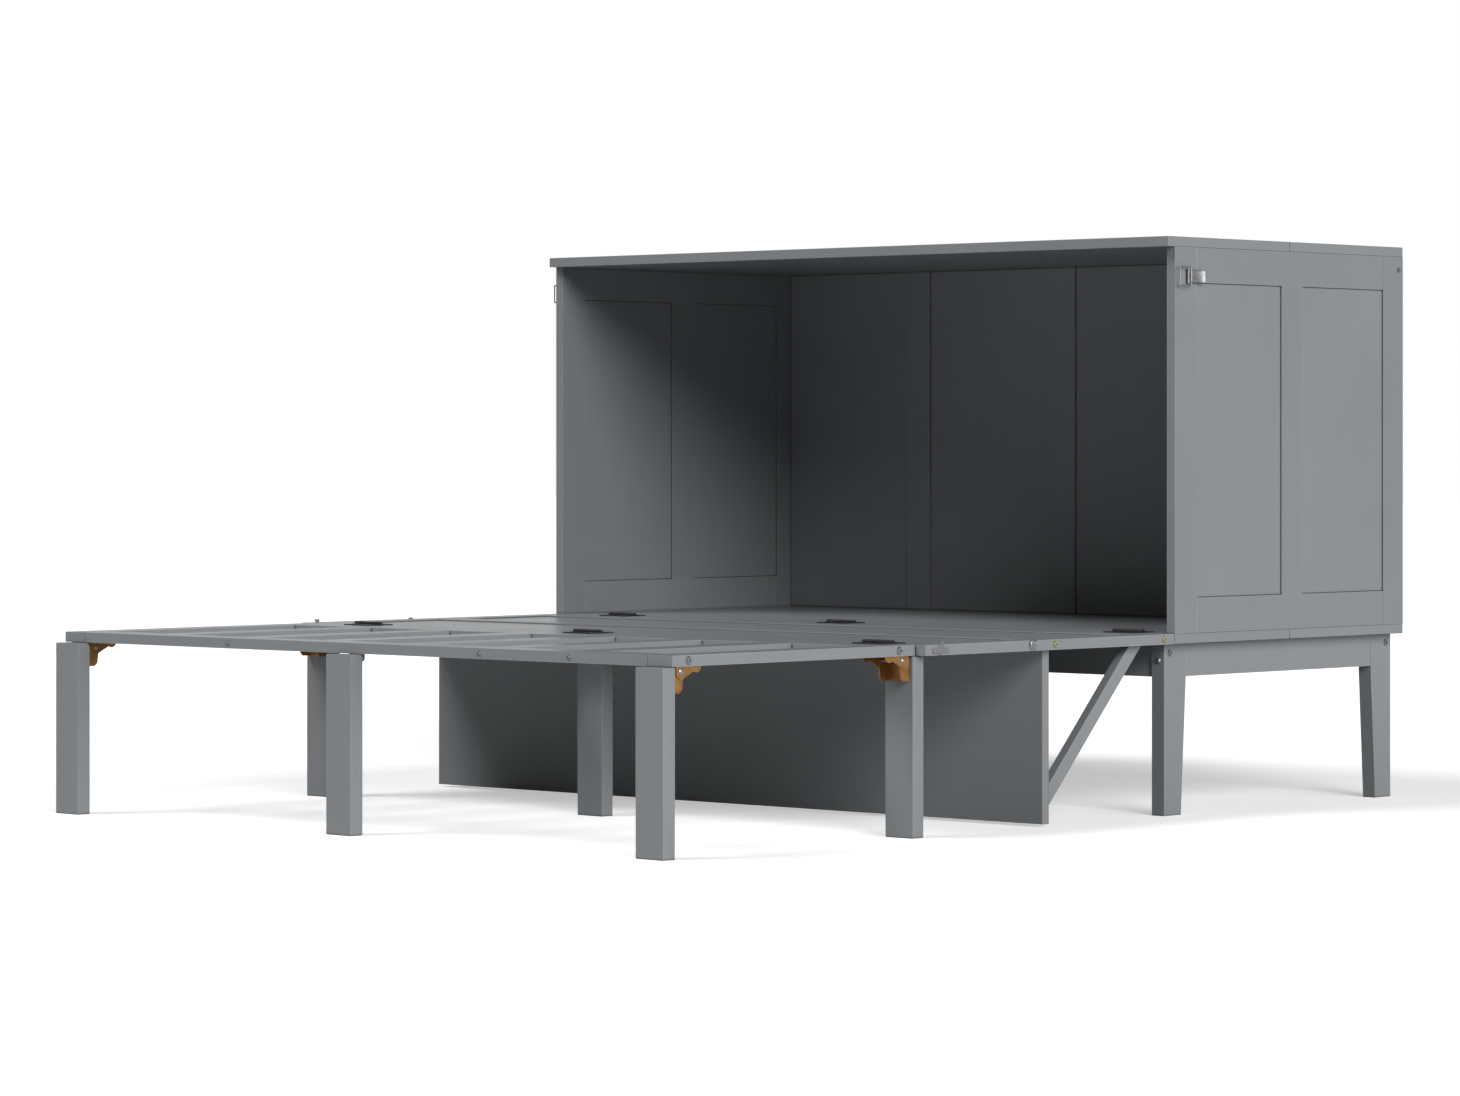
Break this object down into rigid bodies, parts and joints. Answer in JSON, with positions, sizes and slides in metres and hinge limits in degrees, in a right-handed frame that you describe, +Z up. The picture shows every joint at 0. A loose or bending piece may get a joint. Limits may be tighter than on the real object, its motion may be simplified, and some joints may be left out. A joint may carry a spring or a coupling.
{
  "type": "fold-out wall bed",
  "caption": "Low cabinet bed: the cabinet base, a hinged desk section and a slatted foot section with folding legs open out into one flat deck.",
  "frame": {"origin": "on the floor below the middle of the opened bed's bounding box", "axes": "+X along the bed's width, +Y from the foot of the bed to the back of the cabinet, +Z up"},
  "size_m": [1.6482, 2.0824, 1.081],
  "materials": {
    "painted_wood": "satin grey paint",
    "black_metal": "satin black",
    "yellow_zinc": "yellow passivated zinc",
    "pale_zinc": "pale yellow passivated zinc",
    "zinc": "bright zinc"
  },
  "bodies": {
    "cabinet": {"top_front_board": "painted_wood", "top_rear_board": "painted_wood", "base_front_board": "painted_wood", "base_rear_board": "painted_wood", "left_side_stiles": "painted_wood", "left_side_rails": "painted_wood", "left_side_panels": "painted_wood", "right_side_stiles": "painted_wood", "right_side_rails": "painted_wood", "right_side_panels": "painted_wood", "back_stiles": "painted_wood", "back_panels": "painted_wood", "front_left_cabinet_leg": "painted_wood", "front_right_cabinet_leg": "painted_wood", "rear_left_cabinet_leg": "painted_wood", "rear_right_cabinet_leg": "painted_wood", "front_apron": "painted_wood", "rear_apron": "painted_wood", "side_aprons": "painted_wood", "cabinet_bolts": "zinc", "cabinet_hinge_leaves": "black_metal", "latch_bases": "zinc"},
    "middle_section": {"middle_left_rail": "painted_wood", "middle_right_rail": "painted_wood", "middle_head_rail": "painted_wood", "middle_centre_rail": "painted_wood", "middle_foot_rail": "painted_wood", "middle_panels": "painted_wood", "desk_board": "painted_wood", "desk_braces": "painted_wood", "middle_bolts": "pale_zinc", "latch_keepers": "zinc", "side_hooks": "zinc", "middle_hinge_leaves": "black_metal", "hinge_pins": "black_metal"},
    "foot_section": {"foot_left_rail": "painted_wood", "foot_right_rail": "painted_wood", "foot_head_rail": "painted_wood", "foot_end_rail": "painted_wood", "foot_slats": "painted_wood", "foot_bolts": "zinc", "foot_hinge_leaves": "black_metal", "leg_hangers": "yellow_zinc", "leg_pivot_pins": "zinc"},
    "foot_left_folding_leg": {"foot_left_leg": "painted_wood", "foot_left_channel": "yellow_zinc"},
    "foot_middle_folding_leg": {"foot_middle_leg": "painted_wood", "foot_middle_channel": "yellow_zinc"},
    "foot_right_folding_leg": {"foot_right_leg": "painted_wood", "foot_right_channel": "yellow_zinc"},
    "hinge_left_folding_leg": {"hinge_left_leg": "painted_wood", "hinge_left_channel": "yellow_zinc"},
    "hinge_middle_folding_leg": {"hinge_middle_leg": "painted_wood", "hinge_middle_channel": "yellow_zinc"},
    "hinge_right_folding_leg": {"hinge_right_leg": "painted_wood", "hinge_right_channel": "yellow_zinc"},
    "left_lever": {"left_latch_lever": "zinc"},
    "left_bail": {"left_latch_bail": "zinc"},
    "right_lever": {"right_latch_lever": "zinc"},
    "right_bail": {"right_latch_bail": "zinc"}
  },
  "joints": [
    {"name": "middle_section_fold", "type": "hinge", "parent": "cabinet", "child": "middle_section", "pos_m": [0, 0.312, 0.3445], "axis": [-1, 0, 0], "range_deg": [0, 88.5]},
    {"name": "foot_section_fold", "type": "hinge", "parent": "middle_section", "child": "foot_section", "pos_m": [0, -0.399, 0.3445], "axis": [-1, 0, 0], "range_deg": [0, 180]},
    {"name": "foot_left_leg_fold", "type": "hinge", "parent": "foot_section", "child": "foot_left_folding_leg", "pos_m": [-0.758, -0.992, 0.313], "axis": [1, 0, 0], "range_deg": [0, 90]},
    {"name": "foot_middle_leg_fold", "type": "hinge", "parent": "foot_section", "child": "foot_middle_folding_leg", "pos_m": [-0.007, -0.992, 0.313], "axis": [1, 0, 0], "range_deg": [0, 90]},
    {"name": "foot_right_leg_fold", "type": "hinge", "parent": "foot_section", "child": "foot_right_folding_leg", "pos_m": [0.758, -0.992, 0.313], "axis": [1, 0, 0], "range_deg": [0, 90]},
    {"name": "hinge_left_leg_fold", "type": "hinge", "parent": "foot_section", "child": "hinge_left_folding_leg", "pos_m": [-0.758, -0.426, 0.313], "axis": [-1, 0, 0], "range_deg": [0, 83]},
    {"name": "hinge_middle_leg_fold", "type": "hinge", "parent": "foot_section", "child": "hinge_middle_folding_leg", "pos_m": [-0.007, -0.426, 0.313], "axis": [-1, 0, 0], "range_deg": [0, 83]},
    {"name": "hinge_right_leg_fold", "type": "hinge", "parent": "foot_section", "child": "hinge_right_folding_leg", "pos_m": [0.758, -0.426, 0.313], "axis": [-1, 0, 0], "range_deg": [0, 83]},
    {"name": "left_lever_swing", "type": "hinge", "parent": "cabinet", "child": "left_lever", "pos_m": [-0.8165, 0.349, 1.007], "axis": [0, 0, 1], "range_deg": [0, 110]},
    {"name": "left_bail_swing", "type": "hinge", "parent": "left_lever", "child": "left_bail", "pos_m": [-0.8215, 0.351, 1.007], "axis": [0, 0, -1], "range_deg": [0, 110]},
    {"name": "right_lever_swing", "type": "hinge", "parent": "cabinet", "child": "right_lever", "pos_m": [0.8165, 0.349, 1.007], "axis": [0, 0, -1], "range_deg": [0, 110]},
    {"name": "right_bail_swing", "type": "hinge", "parent": "right_lever", "child": "right_bail", "pos_m": [0.8215, 0.351, 1.007], "axis": [0, 0, 1], "range_deg": [0, 110]}
  ],
  "couplings": [
    {"joint": "left_bail_swing", "follows": "left_lever_swing", "ratio": 1},
    {"joint": "right_bail_swing", "follows": "right_lever_swing", "ratio": 1}
  ]
}
